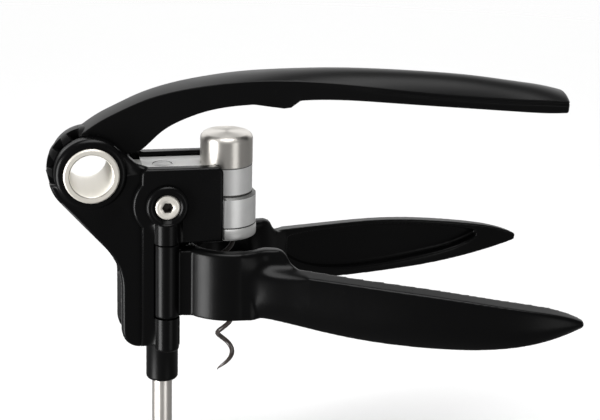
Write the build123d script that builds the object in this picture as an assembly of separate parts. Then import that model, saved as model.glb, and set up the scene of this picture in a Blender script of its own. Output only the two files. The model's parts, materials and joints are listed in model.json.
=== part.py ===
from build123d import *
import math
import os

os.makedirs("parts", exist_ok=True)

# Driving dimensions in millimetres. The origin is on the worm's axis in the plane of the bottle's mouth,
# +X runs along the lever to its grip, +Z is up, -Y is the side with the near handle.
pivot_x = -54.6
pivot_z = 38.0
tube_r = 9.5
tube_wall = 1.0
flange_wide = 1.5
flange_thick = 1.2
bush_wall = 1.5
spacer_wide = 2.9
ear_wall = 4.9
shroud_wide = 2.2
tube_bore_r = tube_r - tube_wall
flange_r = tube_r + flange_wide
bush_r = tube_r + bush_wall
ear_r = tube_r + ear_wall
shroud_r = ear_r + shroud_wide

rack_half = 6.4
arm_half = 9.9
side_gap = 0.6
arm_gap = 0.4
shroud_wall = 4.6
ear_rise = 1.2
cheek_wall = 4.3
wall_in = rack_half + side_gap
shroud_out = wall_in + shroud_wall
ear_out = shroud_out + ear_rise
tube_half = ear_out + flange_thick
cheek_in = arm_half + arm_gap
cheek_out = cheek_in + cheek_wall
cheek_front = -2.9
cheek_low = 9.4
cheek_top = 40.2
crease_x = -35.2
column_back = -42.6
column_front = -17.4
column_low = -34.4

module = 2.36
teeth = 13
pressure = math.radians(25)
addendum = 1.3
rack_addendum = 2.1
dedendum = 2.5
rack_dedendum = 1.8
crown_drop = 2.0
backlash = 0.3
hub_half = rack_half - 0.1
first_tooth = math.radians(99.2)
pitch_r = module * teeth / 2

rod_x = -25.5
rod_r = 4.0
rod_low = -97.0
sleeve_r = 6.4
sleeve_low = -52.0
arm_top = 38.3
arm_low = 29.0
rack_back = -33.6
rack_low = -27.0
housing_r = 10.3
housing_low = 26.8
cap_r = housing_r + 0.1
cap_top = 50.9

carriage_wide = 1.5
carriage_r = housing_r + carriage_wide
carriage_low = 8.9
carriage_top = 26.5
ring_top = 14.2
nut_r = 8.0
nut_top = 22.0

lead = 16.0
worm_r = 2.95
wire_r = 0.95
worm_tip = -49.7
worm_head = 22.9
head_gap = 0.4
washer_wide = 1.9
shank_r = worm_r + wire_r + head_gap
cup_r = shank_r + washer_wide

hinge_x = -25.2
hinge_in = 2.7
hinge_y = cheek_in + hinge_in
knuckle_r = 5.0
knuckle_in = hinge_y - knuckle_r
pin_r = 2.0
knuckle_low = -21.0
knuckle_top = 9.6
lower_knuckle = -35.0
screw_z = 25.2
boss_r = 8.5
upper_knuckle = screw_z - boss_r + 1.9
boss_rise = 2.4
boss_out = cheek_out + boss_rise
head_r = 5.1
head_thick = 3.3

jaw_out = 21.2
jaw_in = 14.8
jaw_lip = 12.5
jaw_low = -20.4
jaw_top = 7.4
jaw_mouth = 16.2
jaw_end = 9.2
jaw_open = 7.0
far_wider = 2.0
grip_tip = 134.5
lever_tip = 137.2


def save(shape, name):
    export_step(shape, "parts/" + name + ".step")


def slab(sketch, near, far):
    return extrude(Plane.XZ.offset(near) * sketch, far - near)


def block(x0, x1, y0, y1, z0, z1):
    place = Pos((x0 + x1) / 2, (y0 + y1) / 2, (z0 + z1) / 2)
    return place * Box(x1 - x0, y1 - y0, z1 - z0)


def post(x, y, radius, z0, z1):
    return Pos(x, y, (z0 + z1) / 2) * Cylinder(radius, z1 - z0)


def cross(x, z, radius, y0, y1):
    return Pos(x, (y0 + y1) / 2, z) * Rot(90, 0, 0) * Cylinder(radius, y1 - y0)


def face_of(points):
    return make_face(Polyline(*points, close=True))


def round_near(shape, radius):
    return fillet(shape.faces().sort_by(Axis.Y)[0].edges(), radius)


# Body: two castings, each with an ear, a column wall and a cheek, that meet in front of the rack.
lean = (-0.738, -0.675)
tangent = (pivot_x + shroud_r * lean[0], pivot_z + shroud_r * lean[1])
run = (column_back - tangent[0]) / -lean[1]
corner = (column_back, tangent[1] + run * lean[0])
wall_outline = face_of([
    tangent,
    corner,
    (column_back, column_low),
    (column_front, column_low),
    (column_front, pivot_z),
    (pivot_x, pivot_z),
])
low_corner = wall_outline.vertices().sort_by(Axis.Y)[0:2].sort_by(Axis.X)[0]
wall_outline = fillet(low_corner, 7.0)
bend = wall_outline.vertices().sort_by_distance(Vertex(corner[0], corner[1], 0))[0]
wall_outline = fillet(bend, 26.0)
lower_side = Pos(pivot_x, pivot_z - 25) * Rectangle(60, 42)
wall_outline = wall_outline + (Pos(pivot_x, pivot_z) * Circle(shroud_r) & lower_side)
lip = face_of([
    (pivot_x, pivot_z),
    (pivot_x + 0.628 * (ear_r + 0.25), pivot_z + 0.778 * (ear_r + 0.25)),
    (pivot_x + 0.887 * (ear_r + 1.16), pivot_z + 0.463 * (ear_r + 1.16)),
    (pivot_x + 0.976 * (ear_r + 3.63), pivot_z + 0.216 * (ear_r + 3.63)),
    (crease_x + 3.2, cheek_top),
    (crease_x + 3.2, pivot_z - 9.0),
])
wall = round_near(slab(wall_outline + lip, wall_in, shroud_out), 1.6)
ear = cross(pivot_x, pivot_z, ear_r, -ear_out, -wall_in)
ear = fillet(ear.edges().sort_by(Axis.Y)[0], 2.4)
wall = wall + ear

front_outline = face_of([
    (crease_x, column_low + 1.2),
    (crease_x, cheek_top),
    (cheek_front, cheek_top),
    (cheek_front, cheek_low),
    (column_front, cheek_low),
    (column_front, column_low + 1.2),
])
top_corners = front_outline.vertices().sort_by(Axis.Y)[-2:]
front_outline = fillet(top_corners, 2.6)
front_outline = front_outline + Pos(hinge_x, screw_z) * Circle(13.4)
front = round_near(slab(front_outline, wall_in, cheek_out), 1.3)

web = block(rack_back + 0.6, column_front, -wall_in - 1, 0, column_low, cheek_low + 1)
boss = cross(hinge_x, screw_z, boss_r, -boss_out, -wall_in)
boss = fillet(boss.edges().sort_by(Axis.Y)[0], 1.6)
upper = post(hinge_x, -hinge_y, knuckle_r + 0.2, knuckle_top + 0.3, upper_knuckle)
upper = fillet(upper.edges().sort_by(Axis.Z)[-1], 1.2)
lower = post(hinge_x, -hinge_y, knuckle_r, lower_knuckle, knuckle_low - 0.3)
lower = fillet(lower.edges().sort_by(Axis.Z)[0], 1.2)
near_half = wall + front + web + boss + upper + lower

near_half -= block(rack_back - 3.4, 5, -cheek_in, 1, cheek_low + 1, cheek_top + 9)
near_half -= block(column_front, 5, -cheek_in, 1, cheek_low - 1, cheek_low + 2)
near_half -= post(rod_x, 0, sleeve_r, column_low - 1, cheek_low + 2)
near_half -= post(hinge_x, -hinge_y, knuckle_r + 0.5, knuckle_low - 0.3, knuckle_top + 0.3)
near_half -= block(hinge_x, 0, -30, -knuckle_in, knuckle_low - 0.3, knuckle_top - 0.3)
near_half -= block(hinge_x, column_front + 1, -30, -knuckle_in, knuckle_top - 1, knuckle_top + 0.3)
near_half -= post(hinge_x, -hinge_y, pin_r, lower_knuckle - 1, screw_z - 7.6)
near_half -= block(rod_x + 5.4, 0, -30, 1, column_low - 1, knuckle_low - 0.3)
near_half -= cross(hinge_x, screw_z, 3.25, -boss_out, 0)
near_half -= cross(hinge_x, screw_z, head_r + 0.25, -boss_out - 1, -boss_out + head_thick)
near_half -= cross(pivot_x, pivot_z, tube_r, -20, 0)
far_half = mirror(near_half, about=Plane.XZ)
save(near_half, "body_near_half")
save(far_half, "body_far_half")

# Guide: a block clamped between the cheeks, with the sleeve that shows under the column.
guide = block(rod_x - 6.9, rod_x + 6.9, -cheek_in, cheek_in, cheek_low + 1, arm_low - 1.8)
sleeve = post(rod_x, 0, sleeve_r, sleeve_low, cheek_low + 1.5)
sleeve = fillet(sleeve.edges().sort_by(Axis.Z)[0], 1.5)
guide = guide + sleeve - post(rod_x, 0, rod_r + 0.05, sleeve_low - 1, 30)
for side in (-1, 1):
    reach = sorted((side * 5.0, side * 12.0))
    guide -= cross(hinge_x, screw_z, 3.0, reach[0], reach[1])
save(guide, "guide_tube")

# Pivot: a hollow tube through both ears, flanged on the near side and ringed on the far side.
pivot = cross(pivot_x, pivot_z, tube_r, -tube_half, tube_half)
pivot += cross(pivot_x, pivot_z, flange_r, -tube_half, -ear_out)
pivot -= cross(pivot_x, pivot_z, tube_bore_r, -tube_half - 1, tube_half + 1)
pivot = chamfer(pivot.faces().sort_by(Axis.Y)[0].edges(), 0.5)
save(pivot, "pivot_tube")
far_ring = cross(pivot_x, pivot_z, flange_r, ear_out, tube_half)
far_ring -= cross(pivot_x, pivot_z, tube_r, 0, tube_half + 1)
far_ring = chamfer(far_ring.faces().sort_by(Axis.Y)[-1].edges().sort_by(SortBy.RADIUS)[-1], 0.5)
save(far_ring, "pivot_ring")

# Screws: button heads with hexagon sockets, one in each boss.
screw = cross(hinge_x, screw_z, 3.0, -boss_out + 1, -5.0)
button = cross(hinge_x, screw_z, head_r, -boss_out, -boss_out + head_thick)
button = fillet(button.edges().sort_by(Axis.Y)[0], 1.2)
hexagon = RegularPolygon(2.0, 6, major_radius=False)
socket = Plane.XZ.offset(boss_out - 2.2) * Pos(hinge_x, screw_z) * hexagon
near_screw = screw + button - extrude(socket, 4)
save(near_screw, "near_screw")
save(mirror(near_screw, about=Plane.XZ), "far_screw")

near_pin = post(hinge_x, -hinge_y, pin_r, lower_knuckle + 0.2, screw_z - 7.6)
save(near_pin, "near_hinge_pin")
save(mirror(near_pin, about=Plane.XZ), "far_hinge_pin")

# Lever: a toothed hub with a ring rib in its middle plane, and an arm that arches over the cap.
base_r = pitch_r * math.cos(pressure)
root_r = pitch_r - dedendum
tip_r = pitch_r + addendum
pitch_half = math.pi / (2 * teeth) - backlash / (2 * pitch_r) + math.tan(pressure) - pressure


def half_angle(radius):
    turn = math.acos(min(1.0, base_r / radius))
    return pitch_half - math.tan(turn) + turn


tooth_radii = [root_r - 0.4, base_r, base_r + 0.7, base_r + 1.4, base_r + 2.1, tip_r]


def tooth_at(angle):
    rise = [(r, angle + half_angle(max(r, base_r))) for r in tooth_radii]
    fall = [(r, angle - half_angle(max(r, base_r))) for r in reversed(tooth_radii)]
    return face_of([(pivot_x + r * math.cos(a), pivot_z + r * math.sin(a)) for r, a in rise + fall])


hub = cross(pivot_x, pivot_z, root_r, -hub_half, hub_half)
hub += cross(pivot_x, pivot_z, tip_r - 1.5, -1.0, 1.0)
for index in range(teeth):
    hub += slab(tooth_at(first_tooth + index * 2 * math.pi / teeth), -hub_half, hub_half)
crown_ends = ((hub_half + 0.2, tip_r - crown_drop), (-hub_half - 0.2, tip_r - crown_drop))
crown_arc = ThreePointArc(crown_ends[0], (0, tip_r), crown_ends[1])
crown_line = Polyline(crown_ends[1], (-hub_half - 0.2, 0), (hub_half + 0.2, 0), crown_ends[0])
barrel = revolve(make_face([crown_arc, crown_line]), Axis.X)
hub &= Pos(pivot_x, 0, pivot_z) * Rot(0, 0, 90) * barrel


def arm_section(x, low, edge, crown, low_half, edge_half):
    left_low = (-low_half, low)
    right_low = (low_half, low)
    right_top = (edge_half, edge)
    left_top = (-edge_half, edge)
    sides = [
        Line(left_low, right_low),
        Line(right_low, right_top),
        ThreePointArc(right_top, (0, crown), left_top),
        Line(left_top, left_low),
    ]
    return Plane(origin=(x, 0, 0), x_dir=(0, 1, 0), z_dir=(1, 0, 0)) * make_face(sides)


arm = loft([
    arm_section(-57.6, 45.0, 53.0, 53.3, 6.2, 6.2),
    arm_section(-51.0, 45.0, 57.6, 57.9, 6.2, 6.2),
    arm_section(-44.0, 45.0, 61.2, 61.5, 6.2, 6.2),
    arm_section(-36.0, 45.0, 64.9, 65.2, 6.3, 6.4),
    arm_section(-28.0, 52.8, 67.7, 68.0, 6.5, 6.7),
    arm_section(-18.9, 58.2, 69.9, 70.2, 6.8, 7.1),
    arm_section(-8.0, 61.9, 71.6, 72.1, 7.4, 7.7),
    arm_section(4.0, 63.7, 72.8, 73.6, 8.0, 8.4),
    arm_section(16.0, 64.4, 73.2, 74.5, 8.6, 9.1),
    arm_section(28.0, 65.2, 72.8, 75.1, 9.2, 9.8),
    arm_section(42.0, 65.5, 71.6, 75.2, 9.8, 10.4),
    arm_section(60.0, 64.4, 69.3, 74.4, 10.2, 10.9),
    arm_section(80.0, 62.2, 66.7, 72.8, 10.4, 11.1),
    arm_section(100.0, 59.9, 64.6, 70.5, 10.3, 11.0),
    arm_section(lever_tip - 19.2, 58.0, 63.0, 67.5, 9.8, 10.6),
    arm_section(lever_tip - 7.2, 57.0, 62.1, 64.4, 9.1, 10.0),
    arm_section(lever_tip, 57.2, 61.2, 61.9, 8.2, 9.1),
])
spur = face_of([
    (9.0, 64.6),
    (15.0, 63.2),
    (21.5, 62.2),
    (24.0, 62.6),
    (27.6, 65.6),
    (24.0, 67.0),
    (12.0, 66.0),
])
arm += slab(spur, -8.3, 8.3)
hub_zone = cross(pivot_x, pivot_z, tip_r + 2.2, -2 * hub_half, 2 * hub_half)
lever_hub = hub + (arm & hub_zone) - cross(pivot_x, pivot_z, bush_r, -2 * hub_half, 2 * hub_half)
save(lever_hub, "lever_hub")
save(arm - hub_zone, "lever_arm")
bush = cross(pivot_x, pivot_z, bush_r, -hub_half, hub_half)
bush -= cross(pivot_x, pivot_z, tube_r + 0.05, -2 * hub_half, 2 * hub_half)
save(bush, "lever_bush")
near_spacer = cross(pivot_x, pivot_z, tube_r + spacer_wide, -wall_in, -hub_half - 0.08)
near_spacer -= cross(pivot_x, pivot_z, tube_r, -2 * wall_in, 0)
save(near_spacer, "near_spacer")
save(mirror(near_spacer, about=Plane.XZ), "far_spacer")

# Carrier: the arm between the cheeks, the worm's housing and the rack that the hub drives.
pitch = math.pi * module
pitch_x = pivot_x + pitch_r
gap_angle = first_tooth - 4 * 2 * math.pi / teeth
gap_z = pivot_z + pitch_r * gap_angle
tooth_half = pitch / 4 - backlash / 4
tip_half = tooth_half - rack_addendum * math.tan(pressure)
foot_half = tooth_half + (rack_dedendum + 0.2) * math.tan(pressure)
carrier = block(rack_back, 0, -arm_half, arm_half, arm_low, arm_top)
carrier = fillet(carrier.edges().filter_by(Axis.X).sort_by(Axis.Z)[-2:], 0.6)
carrier += post(0, 0, housing_r, housing_low, arm_top)
carrier -= post(rod_x, 0, rod_r, 0, 60)
carrier -= post(0, 0, shank_r, 0, 60)
carrier -= post(0, 0, cup_r, housing_low + 2.7, 60)
save(carrier, "carrier")

rack = block(pitch_x + rack_dedendum, rack_back, -rack_half, rack_half, rack_low, arm_top)
for index in range(-9, 2):
    z = gap_z + pitch * (index + 0.5)
    rack_tooth = face_of([
        (pitch_x - rack_addendum, z - tip_half),
        (pitch_x + rack_dedendum + 0.2, z - foot_half),
        (pitch_x + rack_dedendum + 0.2, z + foot_half),
        (pitch_x - rack_addendum, z + tip_half),
    ])
    rack += slab(rack_tooth, -rack_half, rack_half)
rack &= block(pitch_x - 10, rack_back, -rack_half, rack_half, rack_low, arm_top)
rack -= block(pitch_x - 10, pitch_x + rack_dedendum, -1.6, 1.6, rack_low - 1, arm_top + 1)
save(rack, "rack")

rod = post(rod_x, 0, rod_r, rod_low, arm_top)
rod = chamfer(rod.edges().filter_by(GeomType.CIRCLE), 0.5)
save(rod, "guide_rod")
cap = post(0, 0, cap_r, arm_top, cap_top)
cap = fillet(cap.edges().filter_by(GeomType.CIRCLE).sort_by(Axis.Z)[-1], 1.1)
cap += post(0, 0, cup_r, arm_top - 3, arm_top + 1)
save(cap, "worm_cap")
washer = post(0, 0, cup_r - 0.2, housing_low + 2.7, housing_low + 3.7)
washer -= post(0, 0, shank_r, 0, 60)
save(washer, "thrust_washer")


# Worm: a right-hand helix of round wire under a plain head, and the nut with its helical hole.
def wire(radius, z0, z1):
    path = Helix(pitch=lead, height=z1 - z0, radius=worm_r)
    profile = Plane(path @ 0, z_dir=path % 0) * Circle(radius)
    turn = 180 + 360 * (z0 - worm_tip) / lead
    return Pos(0, 0, z0) * Rot(0, 0, turn) * sweep(profile, path=path, is_frenet=True)


worm = wire(wire_r, worm_tip, worm_head + 2.0)
worm += post(0, 0, shank_r - 0.3, worm_head, housing_low + 4.2)
worm += post(0, 0, cup_r - 0.5, housing_low + 3.75, arm_top - 3.3)
save(worm, "worm")
nut = post(0, 0, nut_r, ring_top, nut_top) - wire(wire_r + 0.32, ring_top - 3.0, nut_top + 3.0)
save(nut, "helix_nut")

carriage = post(0, 0, carriage_r, ring_top, carriage_top)
carriage = chamfer(carriage.edges().filter_by(GeomType.CIRCLE).sort_by(Axis.Z)[-1], 0.8)
carriage -= block(-20, cheek_front + 0.5, -20, -cheek_in + 0.3, 0, 40)
carriage -= block(-20, cheek_front + 0.5, cheek_in - 0.3, 20, 0, 40)
carriage += block(rod_x + 6.9, -5, -6, 6, ring_top, carriage_top - 2.5)
carriage -= post(0, 0, nut_r, 0, nut_top)
carriage -= post(0, 0, 4.6, 0, 60)
save(carriage, "nut_carriage")
ring = post(0, 0, carriage_r + 0.2, carriage_low, ring_top - 0.4)
ring = fillet(ring.edges().filter_by(GeomType.CIRCLE).sort_by(Axis.Z)[0], 0.8)
ring += post(0, 0, carriage_r - 0.4, carriage_low + 2, ring_top)
ring -= block(-20, cheek_front + 0.5, -20, -cheek_in + 0.3, 0, 40)
ring -= block(-20, cheek_front + 0.5, cheek_in - 0.3, 20, 0, 40)
ring -= post(0, 0, 5.0, 0, 40)
save(ring, "nut_ring")

# Handles: a half ring that grips the bottle's neck, its hinge knuckle, and the long grip.
half_plane = Pos(0, -25.8) * Rectangle(120, 50)
jaw_plan = Circle(jaw_out) & half_plane
jaw_plan -= Pos(jaw_out, 0) * Rectangle(2 * jaw_out, 2 * jaw_end)
jaw_front = jaw_plan.vertices().sort_by(Axis.X)[-1]
jaw_plan = fillet(jaw_front, 3.0)
jaw = extrude(Plane.XY.offset(jaw_low) * jaw_plan, jaw_top - jaw_low)
jaw = fillet(jaw.faces().sort_by(Axis.Z)[-1].edges().filter_by(GeomType.CIRCLE), 2.0)
jaw -= block(-30, column_front + 0.8, -knuckle_in - 0.3, 5, -60, 60)
jaw += block(hinge_x, -10, -hinge_y - 1.6, -knuckle_in - 0.3, jaw_low, jaw_top - 0.8)
jaw += post(hinge_x, -hinge_y, knuckle_r, knuckle_low, knuckle_top)
jaw -= post(hinge_x, -hinge_y, pin_r + 0.05, -60, 60)
funnel = Pos(0, 0, jaw_top / 2 + 1) * Cone(jaw_lip, jaw_mouth, jaw_top - 2)
neck = post(0, 0, jaw_in, -60, 0) + post(0, 0, jaw_lip, -1, 60) + funnel
neck += post(0, 0, jaw_mouth, jaw_top, 60)
swing = Pos(hinge_x, -hinge_y, 0) * Rot(0, 0, -jaw_open) * Pos(-hinge_x, hinge_y, 0)


def grip_section(x, inner, inner_top, outer, outer_top, foot, low, bulge):
    belly = (-max(outer, foot) - bulge, 0.45 * outer_top + 0.55 * low)
    low_half = 0.16 * (outer - inner)
    low_outer = (-foot - low_half, low + 0.8)
    low_inner = (-foot + low_half, low + 0.4)
    sides = [
        Line((-inner, inner_top), (-outer, outer_top)),
        ThreePointArc((-outer, outer_top), belly, low_outer),
        ThreePointArc(low_outer, (-foot, low), low_inner),
        Line(low_inner, (-inner, inner_top)),
    ]
    return Plane(origin=(x, 0, 0), x_dir=(0, 1, 0), z_dir=(1, 0, 0)) * make_face(sides)


grip_body = loft([
    grip_section(8.0, 17.4, 0.9, 23.2, 0.4, 21.0, -19.9, 0.4),
    grip_section(20.0, 21.2, 0.6, 29.2, -0.5, 25.5, -21.2, 0.8),
    grip_section(34.0, 26.7, -0.2, 34.3, -1.3, 31.0, -23.6, 1.4),
    grip_section(56.0, 35.4, -1.8, 42.6, -2.9, 39.0, -26.3, 1.6),
    grip_section(78.0, 42.4, -3.7, 49.6, -4.8, 46.0, -27.2, 1.4),
    grip_section(100.0, 46.8, -6.8, 54.0, -7.8, 51.2, -26.5, 1.2),
    grip_section(grip_tip - 16.0, 48.7, -9.9, 55.4, -10.9, 53.2, -23.5, 0.8),
    grip_section(grip_tip - 5.0, 49.8, -13.0, 54.4, -13.7, 52.6, -20.3, 0.5),
    grip_section(grip_tip, 50.6, -15.5, 53.2, -15.9, 52.0, -18.4, 0.3),
])
shoulder_top = jaw_top - 0.15
shoulder_side = make_face([
    Polyline((29.0, -0.6), (29.0, -18.0), (11.0, -18.0), (11.0, shoulder_top), (18.6, shoulder_top)),
    ThreePointArc((18.6, shoulder_top), (21.0, shoulder_top - 1.0), (22.2, shoulder_top - 3.2)),
    ThreePointArc((22.2, shoulder_top - 3.2), (24.4, shoulder_top - 6.3), (29.0, -0.6)),
])
shoulder_plan = face_of([
    (11.0, -14.6),
    (17.0, -14.9),
    (20.4, -16.4),
    (24.0, -20.2),
    (29.0, -24.9),
    (29.0, -29.0),
    (24.0, -24.4),
    (20.4, -21.6),
    (11.0, -20.4),
])
shoulder = slab(shoulder_side, 10.0, 32.0)
shoulder &= extrude(Plane.XY.offset(-18.0) * shoulder_plan, shoulder_top + 19.0)


def pocket_section(x, upper, top, lower, low):
    outline = [(-upper - 2.6, top - 0.8), (-upper + 4.0, top), (-lower + 4.0, low - 1.2), (-lower - 2.6, low + 2.4)]
    return Plane(origin=(x, 0, 0), x_dir=(0, 1, 0), z_dir=(1, 0, 0)) * face_of(outline)


pocket = loft([
    pocket_section(30.0, 25.6, -3.0, 26.8, -13.5),
    pocket_section(42.0, 30.4, -2.6, 32.0, -20.5),
    pocket_section(56.0, 35.6, -3.3, 37.8, -23.6),
    pocket_section(78.0, 42.6, -5.2, 45.0, -24.6),
    pocket_section(98.0, 46.8, -8.2, 49.6, -23.0),
    pocket_section(112.0, 48.6, -10.8, 50.8, -19.4),
    pocket_section(117.0, 49.2, -12.2, 50.6, -16.4),
])
near_handle = grip_body + shoulder + swing * jaw - swing * neck - pocket
save(near_handle, "near_handle")
wider = Pos(hinge_x, hinge_y, 0) * Rot(0, 0, far_wider) * Pos(-hinge_x, -hinge_y, 0)
save(wider * mirror(near_handle, about=Plane.XZ), "far_handle")
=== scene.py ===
import json
import math
import bpy
import bmesh
import numpy as np
from mathutils import Matrix


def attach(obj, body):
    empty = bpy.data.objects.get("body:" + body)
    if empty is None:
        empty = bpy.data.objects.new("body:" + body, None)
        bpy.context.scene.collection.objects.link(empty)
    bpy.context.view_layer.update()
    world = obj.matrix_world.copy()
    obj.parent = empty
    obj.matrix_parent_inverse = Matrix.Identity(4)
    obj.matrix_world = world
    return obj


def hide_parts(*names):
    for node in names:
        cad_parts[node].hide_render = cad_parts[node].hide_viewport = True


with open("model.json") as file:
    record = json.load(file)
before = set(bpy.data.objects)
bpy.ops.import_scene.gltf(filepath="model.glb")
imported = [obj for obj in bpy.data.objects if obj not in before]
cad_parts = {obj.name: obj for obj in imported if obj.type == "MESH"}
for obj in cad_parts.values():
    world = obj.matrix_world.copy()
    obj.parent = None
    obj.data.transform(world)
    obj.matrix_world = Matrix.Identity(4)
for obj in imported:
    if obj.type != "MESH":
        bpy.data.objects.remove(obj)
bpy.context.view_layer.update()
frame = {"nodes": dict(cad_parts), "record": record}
nodes = frame["nodes"]
print("frame loaded", len(nodes), "nodes")

mm = 0.001  # a millimetre in metres
perMetre = 1000  # millimetres in a metre
bumpDepth = 0.0001  # depth of every finish's bump, metres


# shader maths: a socket that can be added, multiplied and so on
class Val:
    def __init__(self, tree, socket):
        self.tree = tree
        self.socket = socket

    def math(self, kind, a, b=0.0):
        node = self.tree.nodes.new("ShaderNodeMath")
        node.operation = kind
        for slot, value in zip(node.inputs, (a, b)):
            if isinstance(value, Val):
                self.tree.links.new(value.socket, slot)
            else:
                slot.default_value = value
        return Val(self.tree, node.outputs[0])

    def __add__(self, other):
        return self.math("ADD", self, other)

    def __radd__(self, other):
        return self.math("ADD", other, self)

    def __sub__(self, other):
        return self.math("SUBTRACT", self, other)

    def __rsub__(self, other):
        return self.math("SUBTRACT", other, self)

    def __mul__(self, other):
        return self.math("MULTIPLY", self, other)

    def __rmul__(self, other):
        return self.math("MULTIPLY", other, self)

    def above(self, other):
        return self.math("GREATER_THAN", self, other)


# a finish: one material with its Principled shader, and any other node through node()
class Finish:
    def __init__(self, name, **sockets):
        self.mat = bpy.data.materials.new(name)
        self.mat.use_nodes = True
        self.tree = self.mat.node_tree
        self.shader = self.tree.nodes["Principled BSDF"]
        for key, value in sockets.items():
            slot = self.shader.inputs[key.replace("_", " ")]
            slot.default_value = (*value, 1.0) if isinstance(value, tuple) else value

    # a socket is named by its words, with _ for a space, or by i and its number
    def node(self, kind, settings=None, out=0, **values):
        made = self.tree.nodes.new(kind)
        for key, value in (settings or {}).items():
            if key == "stops":
                ramp = made.color_ramp
                for spot, (place, tone) in zip((ramp.elements[0], ramp.elements[1]), value):
                    spot.position = place
                    spot.color = (tone, tone, tone, 1.0)
            else:
                setattr(made, key, value)
        for key, value in values.items():
            numbered = key[0] == "i" and key[1:].isdigit()
            slot = made.inputs[int(key[1:]) if numbered else key.replace("_", " ")]
            if isinstance(value, Val):
                self.tree.links.new(value.socket, slot)
            else:
                slot.default_value = value
        return Val(self.tree, made.outputs[out])

    # Object coordinates, scaled
    def place(self, scale=(1.0, 1.0, 1.0)):
        where = self.node("ShaderNodeTexCoord", out=3)
        return self.node("ShaderNodeMapping", Vector=where, Scale=scale)

    def grain(self, scale, detail, stretch=(1.0, 1.0, 1.0), rough=0.5):
        return self.node("ShaderNodeTexNoise", Vector=self.place(stretch), Scale=scale, Detail=detail,
                         Roughness=rough)

    def ramp(self, value, low, high):
        return self.node("ShaderNodeValToRGB", {"stops": ((low, 0.0), (high, 1.0))}, Fac=value)

    def feed(self, key, value):
        self.tree.links.new(value.socket, self.shader.inputs[key])

    def blend(self, mask, first, second):
        return self.node("ShaderNodeMix", {"data_type": "RGBA"}, out=2, i0=mask, i6=first, i7=second)

    # base colour between two tones, with (mask, tone) pairs laid over it
    def tint(self, mask, first, second, *over):
        mixed = self.blend(mask, (*first, 1.0), (*second, 1.0))
        for cover, tone in over:
            mixed = self.blend(cover, mixed, (*tone, 1.0))
        self.feed("Base Color", mixed)

    # distance from an axis along Y
    def fromAxis(self, x, z):
        flat = self.node("ShaderNodeVectorMath", {"operation": "MULTIPLY"}, i0=self.place(),
                         i1=(1.0, 0.0, 1.0))
        return self.node("ShaderNodeVectorMath", {"operation": "DISTANCE"}, out=1, i0=flat,
                         i1=(x, 0.0, z))

    # 1 between two heights
    def band(self, low, high):
        height = self.node("ShaderNodeSeparateXYZ", out=2, i0=self.place())
        return height.above(low) * (1 - height.above(high))

    def bump(self, height, strength):
        self.feed("Normal", self.node("ShaderNodeBump", Strength=strength, Distance=bumpDepth,
                                      Height=height))


# black moulding: fine mould grain in the bump, cloudy gloss, sparse pale scuffs
blackSet = {
    "shell": {"colour": (0.0017, 0.0017, 0.0018), "worn": (0.007, 0.007, 0.007),
              "rough": 0.27, "spread": 0.10},
    "lever": {"colour": (0.0017, 0.0017, 0.0018), "worn": (0.007, 0.007, 0.007),
              "rough": 0.34, "spread": 0.10},
    "handle": {"colour": (0.0016, 0.0016, 0.0017), "worn": (0.006, 0.006, 0.006),
               "rough": 0.29, "spread": 0.10},
    "core": {"colour": (0.0020, 0.0020, 0.0021), "worn": (0.008, 0.008, 0.008),
             "rough": 0.34, "spread": 0.08},
}
mouldSet = {"ior": 1.21, "fine": 2600.0, "cloud": 60.0, "scuff": 420.0, "scuffStretch": (1.0, 1.0, 0.35),
            "scuffFrom": 0.66, "scuffTo": 0.78, "scuffTone": 0.45, "scuffRough": 0.06, "cloudBump": 0.5,
            "bump": 0.06}


def blackFinish(name, s):
    m = mouldSet
    f = Finish(name, Base_Color=s["colour"], Roughness=s["rough"], IOR=m["ior"])
    fine = f.grain(m["fine"], detail=2.0)
    cloud = f.grain(m["cloud"], detail=4.0, rough=0.6)
    marks = f.grain(m["scuff"], detail=5.0, stretch=m["scuffStretch"], rough=0.7)
    scuff = f.ramp(marks, m["scuffFrom"], m["scuffTo"])
    f.tint(scuff * m["scuffTone"], s["colour"], s["worn"])
    f.feed("Roughness", s["rough"] - s["spread"] / 2 + cloud * s["spread"] + scuff * m["scuffRough"])
    f.bump(fine + cloud * m["cloudBump"], m["bump"])
    return f.mat


# metal with lines drawn or turned along one direction; the stretch makes the lines; a tube's bore is
# painted paler, painted light, with a thin dark ring of painted shade around its mouth at the radius seam
plain = (1.0, 1.0, 1.0)  # no stretch
metalSet = {
    # the tube's paler bore tone is painted light, and its thin dark line at the radius seam is painted shade
    "tube": {"colour": (0.70, 0.67, 0.61), "dark": (0.64, 0.61, 0.55), "rough": 0.42, "metal": 0.45,
             "stretch": (1.0, 0.2, 1.0), "scale": 900.0, "bump": 0.04, "turned": 0.0, "across": 0.0,
             "axis": (-0.0546, 0.038), "bore": 0.00862, "borePaintedLight": (0.95, 0.92, 0.85),
             "seam": 0.00885, "shadeLineHalf": 0.00015, "shadeLineTone": (0.22, 0.21, 0.19)},
    "screw": {"colour": (0.83, 0.80, 0.73), "dark": (0.74, 0.71, 0.65), "rough": 0.36, "metal": 0.55,
              "stretch": plain, "scale": 900.0, "bump": 0.04, "turned": 0.0, "across": 0.0},
    # the screw sockets' dark tone is painted shade
    "socket": {"colour": (0.085, 0.075, 0.066), "dark": (0.05, 0.045, 0.04), "rough": 0.5, "metal": 0.6,
               "stretch": plain, "scale": 1500.0, "bump": 0.05, "turned": 0.0, "across": 0.0},
    "rod": {"colour": (0.82, 0.79, 0.74), "dark": (0.70, 0.67, 0.63), "rough": 0.30, "metal": 1.0,
            "stretch": (1.0, 1.0, 0.02), "scale": 1800.0, "bump": 0.04, "turned": 0.4, "across": 0.0},
    "cap": {"colour": (0.71, 0.685, 0.64), "dark": (0.64, 0.615, 0.575), "rough": 0.40, "metal": 1.0,
            "stretch": (0.2, 0.2, 1.0), "scale": 5200.0, "bump": 0.02, "turned": 0.75, "across": 0.25},
}
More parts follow.
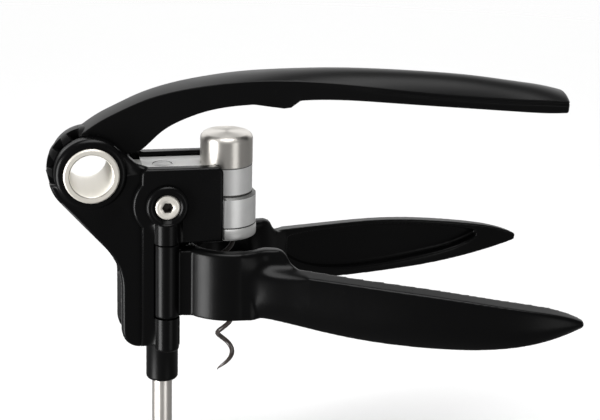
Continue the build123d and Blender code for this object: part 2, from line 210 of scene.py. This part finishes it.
lineSet = {"cloud": 90.0, "cloudShare": 0.6, "lineShare": 0.4, "toneFrom": 0.35, "toneTo": 0.75,
           "roughLess": 0.05, "lineRough": 0.06, "cloudRough": 0.04}


def metalFinish(name, s):
    m = lineSet
    f = Finish(name, Base_Color=s["colour"], Roughness=s["rough"], Metallic=s["metal"],
               Anisotropic=s["turned"], Anisotropic_Rotation=s["across"])
    lines = f.grain(s["scale"], detail=3.0, stretch=s["stretch"], rough=0.6)
    cloud = f.grain(m["cloud"], detail=4.0, rough=0.6)
    over = []
    # painted light: the bore is painted paler; painted shade: a thin dark ring at the radius seam around the
    # mouth
    if "bore" in s:
        reach = f.fromAxis(*s["axis"])
        off = reach - s["seam"]
        over = [(1 - reach.above(s["bore"]), s["borePaintedLight"]),
                (1 - (off * off).above(s["shadeLineHalf"] ** 2), s["shadeLineTone"])]
    tone = f.ramp(cloud * m["cloudShare"] + lines * m["lineShare"], m["toneFrom"], m["toneTo"])
    f.tint(tone, s["dark"], s["colour"], *over)
    f.feed("Roughness", s["rough"] - m["roughLess"] + lines * m["lineRough"] + cloud * m["cloudRough"])
    f.bump(lines, s["bump"])
    return f.mat


# sand-blasted casting: fine pits in the bump and a cloudy tone, with painted shade in dark bands where
# two castings meet and over the carriage's top face and edge; the shaded bands are pairs of heights
castTones = {"colour": (0.84, 0.84, 0.83), "dark": (0.77, 0.77, 0.76), "rough": 0.46, "metal": 0.4}
castSet = {
    "plain": castTones,
    # painted shade: dark lines under the cap and above the carriage, over the carriage's top face and at the
    # ring's top
    "housing": {**castTones, "joints": ((0.03785, 0.03822), (0.0267, 0.02722)),
                "shadeTone": (0.09, 0.09, 0.085)},
    "carriage": {**castTones, "joints": ((0.02568, 0.0266),), "shadeTone": (0.17, 0.17, 0.165)},
    "ring": {"colour": (0.56, 0.56, 0.55), "dark": (0.49, 0.49, 0.48), "rough": 0.44, "metal": 0.4,
             "joints": ((0.01372, 0.0143),), "shadeTone": (0.07, 0.07, 0.065)},
    # the rack is the same grey casting; its dark tone is painted shade
    "rack": {"colour": (0.30, 0.30, 0.29), "dark": (0.21, 0.21, 0.20), "rough": 0.40, "metal": 0.6},
}
blastSet = {"fine": 1500.0, "cloud": 130.0, "toneFrom": 0.3, "toneTo": 0.7, "roughLess": 0.05,
            "cloudRough": 0.10, "cloudBump": 0.4, "bump": 0.12}


def castFinish(name, s):
    m = blastSet
    f = Finish(name, Base_Color=s["colour"], Roughness=s["rough"], Metallic=s["metal"])
    fine = f.grain(m["fine"], detail=3.0)
    cloud = f.grain(m["cloud"], detail=4.0, rough=0.6)
    # painted shade: dark bands at the heights where one casting meets the next
    over = [(f.band(low, high), s["shadeTone"]) for low, high in s.get("joints", ())]
    f.tint(f.ramp(cloud, m["toneFrom"], m["toneTo"]), s["dark"], s["colour"], *over)
    f.feed("Roughness", s["rough"] - m["roughLess"] + cloud * m["cloudRough"])
    f.bump(fine + cloud * m["cloudBump"], m["bump"])
    return f.mat


# plain bearing plastic: a slightly cloudy tone
nylonSet = {"colour": (0.78, 0.77, 0.73), "dark": (0.72, 0.71, 0.67), "pale": (0.82, 0.81, 0.77),
            "rough": 0.45, "roughFrom": 0.40, "cloudRough": 0.12, "cloud": 200.0, "fine": 1800.0, "bump": 0.08}


def nylonFinish(name, s):
    f = Finish(name, Base_Color=s["colour"], Roughness=s["rough"])
    cloud = f.grain(s["cloud"], detail=3.0)
    f.tint(cloud, s["dark"], s["pale"])
    f.feed("Roughness", s["roughFrom"] + cloud * s["cloudRough"])
    f.bump(f.grain(s["fine"], detail=2.0), s["bump"])
    return f.mat


# dark slippery coating of the worm, worn paler in spots
coatSet = {"colour": (0.050, 0.040, 0.036), "dark": (0.046, 0.036, 0.032), "worn": (0.12, 0.10, 0.09),
           "rough": 0.30, "coat": 0.2, "roughFrom": 0.26, "cloudRough": 0.14, "cloud": 300.0, "wear": 900.0,
           "wearFrom": 0.62, "wearTo": 0.75, "wearTone": 0.5, "bump": 0.10}


def coatFinish(name, s):
    f = Finish(name, Base_Color=s["colour"], Roughness=s["rough"], Coat_Weight=s["coat"])
    cloud = f.grain(s["cloud"], detail=4.0, rough=0.6)
    worn = f.ramp(f.grain(s["wear"], detail=4.0, rough=0.7), s["wearFrom"], s["wearTo"])
    f.tint(worn * s["wearTone"], s["dark"], s["worn"])
    f.feed("Roughness", s["roughFrom"] + cloud * s["cloudRough"])
    f.bump(cloud, s["bump"])
    return f.mat


# one look for each material slot, then the looks of single pieces
looks = {
    "black_shell": blackFinish("black shell", blackSet["shell"]),
    "black_core": blackFinish("black sleeve", blackSet["core"]),
    "black_lever": blackFinish("black lever", blackSet["lever"]),
    "black_handle": blackFinish("black handle", blackSet["handle"]),
    "pale_tube": metalFinish("pale tube", metalSet["tube"]),
    "screw_steel": metalFinish("screw steel", metalSet["screw"]),
    "rod_steel": metalFinish("drawn rod", metalSet["rod"]),
    "satin_cap": metalFinish("satin cap", metalSet["cap"]),
    "grey_casting": castFinish("grey casting", castSet["plain"]),
    "white_nylon": nylonFinish("white nylon", nylonSet),
    "dark_coat": coatFinish("dark coat", coatSet),
}
castLooks = {
    "armBlock": castFinish("housing casting", castSet["housing"]),
    "carriagePiece": castFinish("carriage casting", castSet["carriage"]),
    "carriageRing": castFinish("ring casting", castSet["ring"]),
}
# the rack: grey casting darkened, painted shade
shadedRackLook = castFinish("rack casting painted shade", castSet["rack"])
# dark tone for the screw sockets, painted shade
socketShadeLook = metalFinish("screw socket painted shade", metalSet["socket"])
slotOf = {part["node"]: part["material_slot"] for part in frame["record"]["subparts"]}
bodyOf = {}
for bodyName, members in frame["record"]["behaviour"]["bodies"].items():
    for member in members:
        bodyOf[member] = bodyName
for nodeName, nodeObject in nodes.items():
    nodeObject.data.materials.clear()
    nodeObject.data.materials.append(looks[slotOf[nodeName]])
print("finishes made", len(looks))


# mesh helpers; all lengths below are millimetres
def addPiece(name, verts, faces, replaced, sharp):
    mesh = bpy.data.meshes.new(name)
    mesh.from_pydata(verts * mm, [], faces)
    mesh.validate()
    return seatPiece(name, mesh, replaced, sharp)


# shaded smooth, with edges kept sharp past the angle
def seatPiece(name, mesh, replaced, sharp):
    mesh.polygons.foreach_set("use_smooth", np.ones(len(mesh.polygons), dtype=bool))
    mesh.set_sharp_from_angle(angle=math.radians(sharp))
    mesh.materials.clear()
    mesh.materials.append(looks[slotOf[replaced[0]]])
    piece = bpy.data.objects.new(name, mesh)
    bpy.context.scene.collection.objects.link(piece)
    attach(piece, bodyOf[replaced[0]])
    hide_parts(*replaced)
    return piece


# a copy of a CAD solid's mesh with its loose triangles merged
def mergedCopy(name, nodeName):
    work = bmesh.new()
    work.from_mesh(nodes[nodeName].data)
    bmesh.ops.remove_doubles(work, verts=work.verts, dist=1e-6)
    mesh = bpy.data.meshes.new(name)
    work.to_mesh(mesh)
    work.free()
    return mesh


# the mesh of an object with its modifiers worked in; weights from 0 to 1 limit a modifier, in ten steps
def settled(name, mesh, *steps):
    holder = bpy.data.objects.new(name, mesh)
    bpy.context.scene.collection.objects.link(holder)
    for kind, values, weights in steps:
        step = holder.modifiers.new(kind, kind)
        for key, value in values.items():
            setattr(step, key, value)
        if weights is not None:
            group = holder.vertex_groups.new(name=kind)
            levels = np.round(weights * 10).astype(int)
            for level in range(1, 11):
                group.add(np.flatnonzero(levels == level).tolist(), level / 10, "REPLACE")
            step.vertex_group = kind
    bpy.context.view_layer.update()
    ready = holder.evaluated_get(bpy.context.evaluated_depsgraph_get())
    done = bpy.data.meshes.new_from_object(ready)
    bpy.data.objects.remove(holder)
    bpy.data.meshes.remove(mesh)
    return done


# quads of a tube of rows x columns, joined around its columns; the rows are joined around as well,
# or a face closes each end
def tubeFaces(rows, columns, ring=False):
    a, b = np.meshgrid(np.arange(rows if ring else rows - 1), np.arange(columns), indexing="ij")
    a2 = (a + 1) % rows
    b2 = (b + 1) % columns
    quads = np.stack([a * columns + b, a * columns + b2, a2 * columns + b2, a2 * columns + b], axis=-1)
    faces = quads.reshape(-1, 4).tolist()
    if not ring:
        last = (rows - 1) * columns
        faces.append(list(range(columns))[::-1])
        faces.append(list(range(last, last + columns)))
    return faces


# angles of a full turn
def fullTurn(count):
    return np.arange(count) / count * 2 * math.pi


# a rise from 0 to 1 that starts and ends level
def eased(t):
    return t ** 2 * (3 - 2 * t)


# natural cubic curve through the given stations
def smoothThrough(at, xs, ys):
    xs = np.asarray(xs, float)
    ys = np.asarray(ys, float)
    n = len(xs)
    h = np.diff(xs)
    system = np.eye(n)
    right = np.zeros(n)
    inner = np.arange(1, n - 1)
    system[inner, inner - 1] = h[:-1]
    system[inner, inner] = 2 * (h[:-1] + h[1:])
    system[inner, inner + 1] = h[1:]
    right[inner] = 6 * ((ys[2:] - ys[1:-1]) / h[1:] - (ys[1:-1] - ys[:-2]) / h[:-1])
    m = np.linalg.solve(system, right)
    k = np.clip(np.searchsorted(xs, at) - 1, 0, n - 2)
    t = at - xs[k]
    slope = (ys[k + 1] - ys[k]) / h[k] - h[k] * (2 * m[k] + m[k + 1]) / 6
    return ys[k] + slope * t + m[k] / 2 * t ** 2 + (m[k + 1] - m[k]) / (6 * h[k]) * t ** 3


# closed outlines (rows, points, 2) resampled evenly along their length, then their corners softened
def evenOutline(corners, count, soften):
    loop = np.concatenate([corners, corners[:, :1]], axis=1)
    step = np.linalg.norm(np.diff(loop, axis=1), axis=2)
    run = np.concatenate([np.zeros((len(step), 1)), np.cumsum(step, axis=1)], axis=1)
    run /= run[:, -1:]
    want = np.arange(count) / count
    even = np.stack([np.stack([np.interp(want, r, l[:, i]) for i in range(2)], axis=-1)
                     for r, l in zip(run, loop)])
    for turn in range(soften):
        even = 0.25 * np.roll(even, 1, axis=1) + 0.5 * even + 0.25 * np.roll(even, -1, axis=1)
    return even


# lever: sections carried along X, each a flat sole, two leaning sides and a parabolic crown; cubic
# curves join the stations, a spur hangs under the arch, rows lie closer towards the tip, and from
# seamFrom on a fine seam and a ridge run under the crown's edges
leverSet = {
    "x": (-57.6, -51.0, -44.0, -36.0, -28.0, -18.9, -8.0, 4.0, 16.0,
          28.0, 42.0, 60.0, 80.0, 100.0, 118.0, 130.0, 137.2),
    "low": (45.0, 45.0, 45.0, 45.0, 51.85, 57.5, 61.35, 63.2, 63.95,
            64.9, 64.95, 63.55, 61.6, 59.65, 57.8, 56.75, 56.45),
    "edge": (53.0, 57.6, 61.2, 64.9, 67.7, 69.9, 71.6, 72.8, 73.2,
             72.8, 71.6, 69.3, 66.7, 64.6, 63.0, 62.1, 61.2),
    "crown": (53.3, 57.9, 61.5, 65.2, 68.0, 70.2, 72.1, 73.6, 74.6,
              75.1, 75.19, 74.4, 72.8, 70.5, 67.5, 65.1, 62.9),
    "lowHalf": (6.2, 6.2, 6.2, 6.3, 6.5, 6.8, 7.4, 8.0, 8.6,
                9.2, 9.8, 10.2, 10.4, 10.3, 9.8, 9.1, 8.2),
    "edgeHalf": (6.2, 6.2, 6.2, 6.4, 6.7, 7.1, 7.7, 8.4, 9.1,
                 9.8, 10.4, 10.9, 11.1, 11.0, 10.6, 10.0, 9.1),
    "spurX": (6.5, 15.0, 21.5, 24.2, 28.4), "spurZ": (64.1, 62.75, 61.8, 62.1, 65.2),
    "seam": 0.55, "seamFrom": 46.0, "seamRun": 24.0, "seamLow": 0.9, "ridgeLow": 1.8, "ridgeOut": 0.3,
    "rows": 310, "rowEase": 0.9, "around": 300, "crownPoints": 41, "soften": 4, "tipRound": 1.6,
    "tipHalf": 4.0, "sharp": 50.0,
}


def makeLever(s):
    t = np.linspace(0.0, 1.0, s["rows"])
    x = s["x"][0] + (s["x"][-1] - s["x"][0]) * np.sin(t * math.pi / 2) ** s["rowEase"]
    low, edge, crown, lowHalf, edgeHalf = (
        smoothThrough(x, s["x"], s[key]) for key in ("low", "edge", "crown", "lowHalf", "edgeHalf"))
    low = np.minimum(low, np.interp(x, s["spurX"], s["spurZ"], left=math.inf, right=math.inf))
    across = np.linspace(1.0, -1.0, s["crownPoints"])
    crownY = edgeHalf[:, None] * across
    crownZ = edge[:, None] + (crown - edge)[:, None] * (1 - across ** 2)
    top = np.stack([crownY, crownZ], axis=-1)
    sole = np.stack([np.stack([-lowHalf, low], -1), np.stack([lowHalf, low], -1)], axis=1)
    seam = s["seam"] * eased(np.clip((x - s["seamFrom"]) / s["seamRun"], 0.0, 1.0))
    ridgeY = edgeHalf + s["ridgeOut"] * seam
    seamY = edgeHalf - seam
    ridgeZ = edge - s["ridgeLow"]
    seamZ = edge - s["seamLow"]
    rise = np.stack([np.stack([ridgeY, ridgeZ], -1), np.stack([seamY, seamZ], -1)], axis=1)
    fall = np.stack([np.stack([-seamY, seamZ], -1), np.stack([-ridgeY, ridgeZ], -1)], axis=1)
    section = evenOutline(np.concatenate([sole, rise, top, fall], axis=1), s["around"], s["soften"])
    middle = section.mean(axis=1, keepdims=True)
    back = np.clip((x - (s["x"][-1] - s["tipRound"])) / s["tipRound"], 0.0, 1.0)
    shrink = 1 - (1 - np.sqrt(1 - back ** 2)) * s["tipRound"] / s["tipHalf"]
    section = middle + (section - middle) * shrink[:, None, None]
    along = np.broadcast_to(x[:, None, None], section.shape[:2] + (1,))
    points = np.concatenate([along, section], axis=-1)
    return points.reshape(-1, 3), tubeFaces(s["rows"], s["around"])


# toothed hub: radius as a function of angle and width, closed to the bush on both flat sides; an
# involute tooth is held under a barrel that falls towards the sides, and a rib around the middle
# stands almost as high as the teeth
hubSet = {
    "x": -54.6, "z": 38.0, "module": 2.36, "teeth": 13, "pressure": 25.0, "addendum": 1.3, "dedendum": 2.5,
    "backlash": 0.3, "first": 99.2, "half": 6.3, "drop": 2.0, "dropOver": 0.2, "shy": 0.02, "bore": 11.0,
    "rib": 1.0, "ribDrop": 0.1, "flankPoints": 24, "rootRun": 0.02, "columns": 1040, "rows": 46,
    "sharp": 30.0,
}


def makeHub(s):
    pitchR = s["module"] * s["teeth"] / 2
    press = math.radians(s["pressure"])
    baseR = pitchR * math.cos(press)
    tipR = pitchR + s["addendum"] - s["shy"]
    rootR = pitchR - s["dedendum"]
    halfPitch = math.pi / (2 * s["teeth"]) - s["backlash"] / (2 * pitchR) + math.tan(press) - press
    radii = np.linspace(baseR, tipR, s["flankPoints"])
    turn = np.arccos(baseR / radii)
    half = halfPitch - np.tan(turn) + turn
    angle = fullTurn(s["columns"])
    step = 2 * math.pi / s["teeth"]
    off = np.abs((angle - math.radians(s["first"]) + step / 2) % step - step / 2)
    tooth = np.interp(off, np.concatenate([half[::-1], [half[0] + s["rootRun"]]]),
                      np.concatenate([radii[::-1], [rootR]]))
    y = np.linspace(-s["half"], s["half"], s["rows"])
    ribbed = np.abs(y) <= s["rib"]
    limit = tipR - s["drop"] * (y / (s["half"] + s["dropOver"])) ** 2
    radius = np.minimum(tooth[None, :], limit[:, None])
    radius = np.where(ribbed[:, None], np.maximum(radius, tipR - s["ribDrop"]), radius)
    edge = np.full((1, s["columns"]), s["bore"])
    radius = np.concatenate([edge, radius, edge])
    across = np.concatenate([[y[0]], y, [y[-1]]])
    px = s["x"] + radius * np.cos(angle)
    pz = s["z"] + radius * np.sin(angle)
    py = np.broadcast_to(across[:, None], px.shape)
    points = np.stack([px, py, pz], axis=-1)
    return points.reshape(-1, 3), tubeFaces(len(across), s["columns"], ring=True)


# worm: a round wire carried along a right-hand helix, ground to a point at its lower end
wormSet = {"radius": 2.95, "wire": 0.95, "lead": 16.0, "tip": -49.7, "head": 24.0, "point": 7.0,
           "blunt": 0.06, "taper": 0.6, "rows": 900, "around": 20, "sharp": 60.0}


def makeWorm(s):
    z = np.linspace(s["tip"], s["head"], s["rows"])
    angle = math.pi + 2 * math.pi * (z - s["tip"]) / s["lead"]
    centre = np.stack([s["radius"] * np.cos(angle), s["radius"] * np.sin(angle), z], axis=-1)
    along = np.gradient(centre, axis=0)
    along /= np.linalg.norm(along, axis=1, keepdims=True)
    outward = np.stack([np.cos(angle), np.sin(angle), np.zeros_like(z)], axis=-1)
    side = np.cross(along, outward)
    thin = s["wire"] * np.clip((z - s["tip"]) / s["point"], s["blunt"], 1.0) ** s["taper"]
    around = fullTurn(s["around"])[None, :, None]
    ring = np.cos(around) * outward[:, None] + np.sin(around) * side[:, None]
    points = centre[:, None] + thin[:, None, None] * ring
    return points.reshape(-1, 3), tubeFaces(s["rows"], s["around"])


# cap: a profile turned around Z, a plug, a straight side, a round shoulder and a slight dome
capSet = {"plug": 7.0, "plugLow": 35.3, "low": 38.3, "radius": 10.4, "edge": 0.15, "round": 2.3, "dome": 0.35,
          "top": 50.9, "sideEnd": 0.1, "sidePoints": 14, "bend": 85.0, "bendPoints": 18, "topEdge": 0.15,
          "centre": 0.05, "topPoints": 16, "around": 180, "sharp": 40.0}


def makeCap(s):
    bend = np.radians(np.linspace(0.0, s["bend"], s["bendPoints"]))
    shoulder = s["top"] - s["dome"] - s["round"]
    side = np.linspace(s["low"] + s["edge"], shoulder - s["sideEnd"], s["sidePoints"])
    flat = np.linspace(s["radius"] - s["round"] - s["topEdge"], s["centre"], s["topPoints"])
    r = np.concatenate([[s["plug"], s["plug"], s["radius"] - s["edge"]], np.full(len(side), s["radius"]),
                        s["radius"] - s["round"] * (1 - np.cos(bend)), flat])
    z = np.concatenate([[s["plugLow"], s["low"], s["low"]], side, shoulder + s["round"] * np.sin(bend),
                        s["top"] - s["dome"] * (flat / flat[0]) ** 2])
    angle = fullTurn(s["around"])
    height = np.repeat(z[:, None], s["around"], 1)
    points = np.stack([r[:, None] * np.cos(angle), r[:, None] * np.sin(angle), height], axis=-1)
    return points.reshape(-1, 3), tubeFaces(len(r), s["around"])


addPiece("leverArm", *makeLever(leverSet), ("lever_arm",), leverSet["sharp"])
addPiece("toothedHub", *makeHub(hubSet), ("lever_hub",), hubSet["sharp"])
addPiece("wormWire", *makeWorm(wormSet), ("worm",), wormSet["sharp"])
addPiece("capPiece", *makeCap(capSet), ("worm_cap",), capSet["sharp"])
print("lever, hub, worm and cap made")

# smooth copies of CAD solids: the node, and the angle past which an edge stays sharp
copySet = {
    "nearBody": ("body_near_half", 25.0), "farBody": ("body_far_half", 25.0),
    "sleevePiece": ("guide_tube", 28.0), "tubePiece": ("pivot_tube", 28.0), "tubeRing": ("pivot_ring", 28.0),
    "nearButton": ("near_screw", 28.0), "farButton": ("far_screw", 28.0),
    "armBlock": ("carrier", 28.0), "rodPiece": ("guide_rod", 28.0),
    "carriagePiece": ("nut_carriage", 28.0), "carriageRing": ("nut_ring", 28.0),
    "nearPin": ("near_hinge_pin", 28.0), "farPin": ("far_hinge_pin", 28.0),
}
for pieceName, (nodeName, sharp) in copySet.items():
    seatPiece(pieceName, mergedCopy(pieceName, nodeName), (nodeName,), sharp)
for castName, castLook in castLooks.items():
    bpy.data.objects[castName].data.materials[0] = castLook
nodes["rack"].data.materials[0] = shadedRackLook

# the rod's flush upper end is finished with the arm that it sits in, and the hexagon sockets' floor and
# walls are painted dark, painted shade
endSet = {"rodTop": 38.0, "socketX": -25.2, "socketZ": 25.2, "socketReach": 2.45, "socketFace": 16.8}


def faceCentres(mesh):
    centres = np.empty(3 * len(mesh.polygons))
    mesh.polygons.foreach_get("center", centres)
    return centres.reshape(-1, 3) * perMetre


def secondLook(mesh, look, picked):
    mesh.materials.append(look)
    mesh.polygons.foreach_set("material_index", picked.astype(np.int32))


def finishEnds(s):
    rod = bpy.data.objects["rodPiece"].data
    secondLook(rod, looks["grey_casting"], faceCentres(rod)[:, 2] > s["rodTop"])
    for buttonName in ("nearButton", "farButton"):
        button = bpy.data.objects[buttonName].data
        x, y, z = faceCentres(button).T
        inside = np.hypot(x - s["socketX"], z - s["socketZ"]) < s["socketReach"]
        secondLook(button, socketShadeLook, inside & (np.abs(y) < s["socketFace"]))


finishEnds(endSet)
print("smooth copies made", len(copySet))

# a clamp handle: an even skin over the solid, its edges eased, the flare filled out where it leaves
# the jaw, and the shoulder blended in; the blend's weight is 1 inside its box, falls to 0 over the
# margin around it and leaves the grip's inner top edge alone; Y is counted from the middle, and a
# handle that stands wider is measured as if it were turned back about its hinge
gripSet = {
    "cell": 0.48, "rounds": 12, "turns": 420, "factor": 0.5, "hinge": (-25.2, 13.0),
    "wider": {"near_handle": 0.0, "far_handle": 2.0}, "jaw": (1.4, 3.17, 21.2),
    "flareX": (8.0, 20.0, 34.0), "flareIn": (17.4, 21.2, 26.7), "flareOut": (23.6, 30.0, 35.7),
    "fill": 0.9, "fillLead": 5.0, "fillTo": 24.0, "fillDeep": 3.5, "fillFade": 2.5, "fillTop": 2.0,
    "fillDrop": 3.0,
    "blendLow": (12.0, 18.0, -4.0), "blendHigh": (20.0, 29.0, -0.5), "margin": 9.0,
    "edgeFrom": 25.0, "edgeRun": 4.0, "edgeWide": 1.0, "edgeFade": 2.0, "sharp": 180.0,
}


def makeGrip(name, nodeName, s):
    skin = ("REMESH", {"mode": "VOXEL", "voxel_size": s["cell"] * mm}, None)
    cling = ("SHRINKWRAP", {"target": nodes[nodeName], "wrap_method": "NEAREST_SURFACEPOINT"}, None)
    ease = ("SMOOTH", {"factor": s["factor"], "iterations": s["rounds"]}, None)
    mesh = settled(name + "Skin", mergedCopy(name + "Rough", nodeName), skin, cling, ease)
    spots = np.empty(3 * len(mesh.vertices))
    mesh.vertices.foreach_get("co", spots)
    spots = spots.reshape(-1, 3) * perMetre
    turn = math.radians(s["wider"][nodeName])
    hingeX, hingeY = s["hinge"]
    awayX = spots[:, 0] - hingeX
    awayY = np.abs(spots[:, 1]) - hingeY
    ownX = hingeX + awayX * math.cos(turn) + awayY * math.sin(turn)
    ownY = hingeY - awayX * math.sin(turn) + awayY * math.cos(turn)
    own = np.stack([ownX, ownY, spots[:, 2]], axis=-1)
    jawX, jawY, jawR = s["jaw"]
    jaw = jawY + np.sqrt(np.clip(jawR ** 2 - (ownX - jawX) ** 2, 0.0, None))
    flareFrom = s["flareX"][0]
    outer = np.where(ownX < flareFrom, jaw, np.interp(ownX, s["flareX"], s["flareOut"]))
    rise = np.interp(ownX, (flareFrom - s["fillLead"], flareFrom, s["fillTo"]), (0.0, 1.0, 0.0))
    nearSkin = np.clip((ownY - outer + s["fillDeep"]) / s["fillFade"], 0.0, 1.0)
    underTop = np.clip((s["fillTop"] - spots[:, 2]) / s["fillDrop"], 0.0, 1.0)
    spots[:, 1] += np.sign(spots[:, 1]) * s["fill"] * eased(rise) * (nearSkin * underTop)
    mesh.vertices.foreach_set("co", (spots * mm).ravel())
    outside = np.maximum(np.array(s["blendLow"]) - own, own - np.array(s["blendHigh"])).clip(0.0).max(axis=1)
    inner = np.interp(ownX, s["flareX"], s["flareIn"])
    fromEdge = np.clip((ownY - inner - s["edgeWide"]) / s["edgeFade"], 0.0, 1.0)
    free = np.maximum(np.clip((s["edgeFrom"] - ownX) / s["edgeRun"], 0.0, 1.0), fromEdge)
    weights = (1 - outside / s["margin"]).clip(0.0, 1.0) * free
    blend = ("SMOOTH", {"factor": s["factor"], "iterations": s["turns"]}, weights)
    mesh = settled(name + "Blend", mesh, blend)
    print(name, "skin", len(mesh.polygons), "faces")
    return seatPiece(name, mesh, (nodeName,), s["sharp"])


makeGrip("nearGrip", "near_handle", gripSet)
makeGrip("farGrip", "far_handle", gripSet)
print("handles made")

# floor, light and camera, in metres
stageSet = {"floorZ": -0.0976, "floorSize": 8.0, "floorTone": 0.80, "floorRough": 0.8, "fadeFrom": 0.35,
            "fadeTo": 1.1, "worldTone": 0.26}


# a pale floor that fades into the white backdrop with the distance from the object
def makeFloor(s):
    half = s["floorSize"] / 2
    mesh = bpy.data.meshes.new("floor")
    corners = [(x * half, y * half, s["floorZ"]) for x, y in ((-1, -1), (1, -1), (1, 1), (-1, 1))]
    mesh.from_pydata(corners, [], [(0, 1, 2, 3)])
    f = Finish("pale floor", Base_Color=(s["floorTone"],) * 3, Roughness=s["floorRough"])
    reach = f.node("ShaderNodeVectorMath", {"operation": "LENGTH"}, out=1, i0=f.place())
    f.feed("Alpha", f.node("ShaderNodeMapRange", {"interpolation_type": "SMOOTHSTEP"}, Value=reach,
                           i1=s["fadeFrom"], i2=s["fadeTo"], i3=1.0, i4=0.0))
    mesh.materials.append(f.mat)
    floor = bpy.data.objects.new("floor", mesh)
    bpy.context.scene.collection.objects.link(floor)
    floor.visible_glossy = False
    floor.visible_diffuse = False
    floor.visible_shadow = False


# world: white behind the object, dim around it
def makeWorld(s):
    world = bpy.data.worlds.new("studio")
    bpy.context.scene.world = world
    world.use_nodes = True
    tree = world.node_tree
    base = tree.nodes["Background"]
    base.inputs[0].default_value = (s["worldTone"],) * 3 + (1.0,)
    white = tree.nodes.new("ShaderNodeBackground")
    white.inputs[0].default_value = (1.0, 1.0, 1.0, 1.0)
    path = tree.nodes.new("ShaderNodeLightPath")
    mix = tree.nodes.new("ShaderNodeMixShader")
    tree.links.new(path.outputs["Is Camera Ray"], mix.inputs[0])
    tree.links.new(base.outputs[0], mix.inputs[1])
    tree.links.new(white.outputs[0], mix.inputs[2])
    tree.links.new(mix.outputs[0], tree.nodes["World Output"].inputs[0])


# area lights: place, aim, width, height, power
lightSet = {
    "top": ((0.10, -0.05, 1.3), (0.03, 0.0, 0.0), 1.1, 0.8, 20.0),
    "left": ((-1.01, -0.44, -0.18), (0.0, 0.0, 0.0), 0.5, 1.0, 25.0),
    "right": ((0.63, -1.02, -0.20), (0.0, 0.0, 0.0), 0.5, 0.8, 2.2),
    "back": ((0.1, 1.2, 0.50), (0.03, 0.0, 0.03), 2.4, 1.0, 7.5),
}


# a light or camera at a place, looking ahead
def placed(side, rise, ahead, place):
    rows = [(side[i], rise[i], -ahead[i], place[i]) for i in range(3)]
    return Matrix(rows + [(0.0, 0.0, 0.0, 1.0)])


def makeLights(s):
    for name, (place, aim, wide, high, power) in s.items():
        lamp = bpy.data.lights.new(name, "AREA")
        lamp.shape = "RECTANGLE"
        lamp.size = wide
        lamp.size_y = high
        lamp.energy = power
        ahead = np.array(aim, float) - np.array(place, float)
        ahead /= np.linalg.norm(ahead)
        side = np.cross(ahead, (0.0, 0.0, 1.0))
        side /= np.linalg.norm(side)
        holder = bpy.data.objects.new(name, lamp)
        holder.matrix_world = placed(side, np.cross(side, ahead), ahead, place)
        bpy.context.scene.collection.objects.link(holder)


# angles in degrees, focal length and width of the image in its pixels
cameraSet = {"around": 9.5, "above": 18.0, "roll": 1.0, "distance": 1.085, "focal": 2712.0, "imageWidth": 600,
             "sensor": 36.0, "clipEnd": 50.0, "target": (0.0299, 0.0, 0.017)}


def makeCamera(s):
    a = math.radians(s["around"])
    e = math.radians(s["above"])
    r = math.radians(s["roll"])
    ahead = np.array((math.sin(a) * math.cos(e), math.cos(a) * math.cos(e), -math.sin(e)))
    side = np.array((math.cos(a), -math.sin(a), 0.0))
    rise = np.cross(side, ahead)
    right = side * math.cos(r) + rise * math.sin(r)
    up = -side * math.sin(r) + rise * math.cos(r)
    data = bpy.data.cameras.new("camera")
    data.sensor_width = s["sensor"]
    data.lens = s["focal"] / s["imageWidth"] * s["sensor"]
    data.clip_end = s["clipEnd"]
    camera = bpy.data.objects.new("camera", data)
    camera.matrix_world = placed(right, up, ahead, np.array(s["target"]) - ahead * s["distance"])
    bpy.context.scene.collection.objects.link(camera)
    bpy.context.scene.camera = camera


makeFloor(stageSet)
makeLights(lightSet)
makeWorld(stageSet)
makeCamera(cameraSet)
bpy.context.scene.view_settings.view_transform = "Standard"
print("stage set")
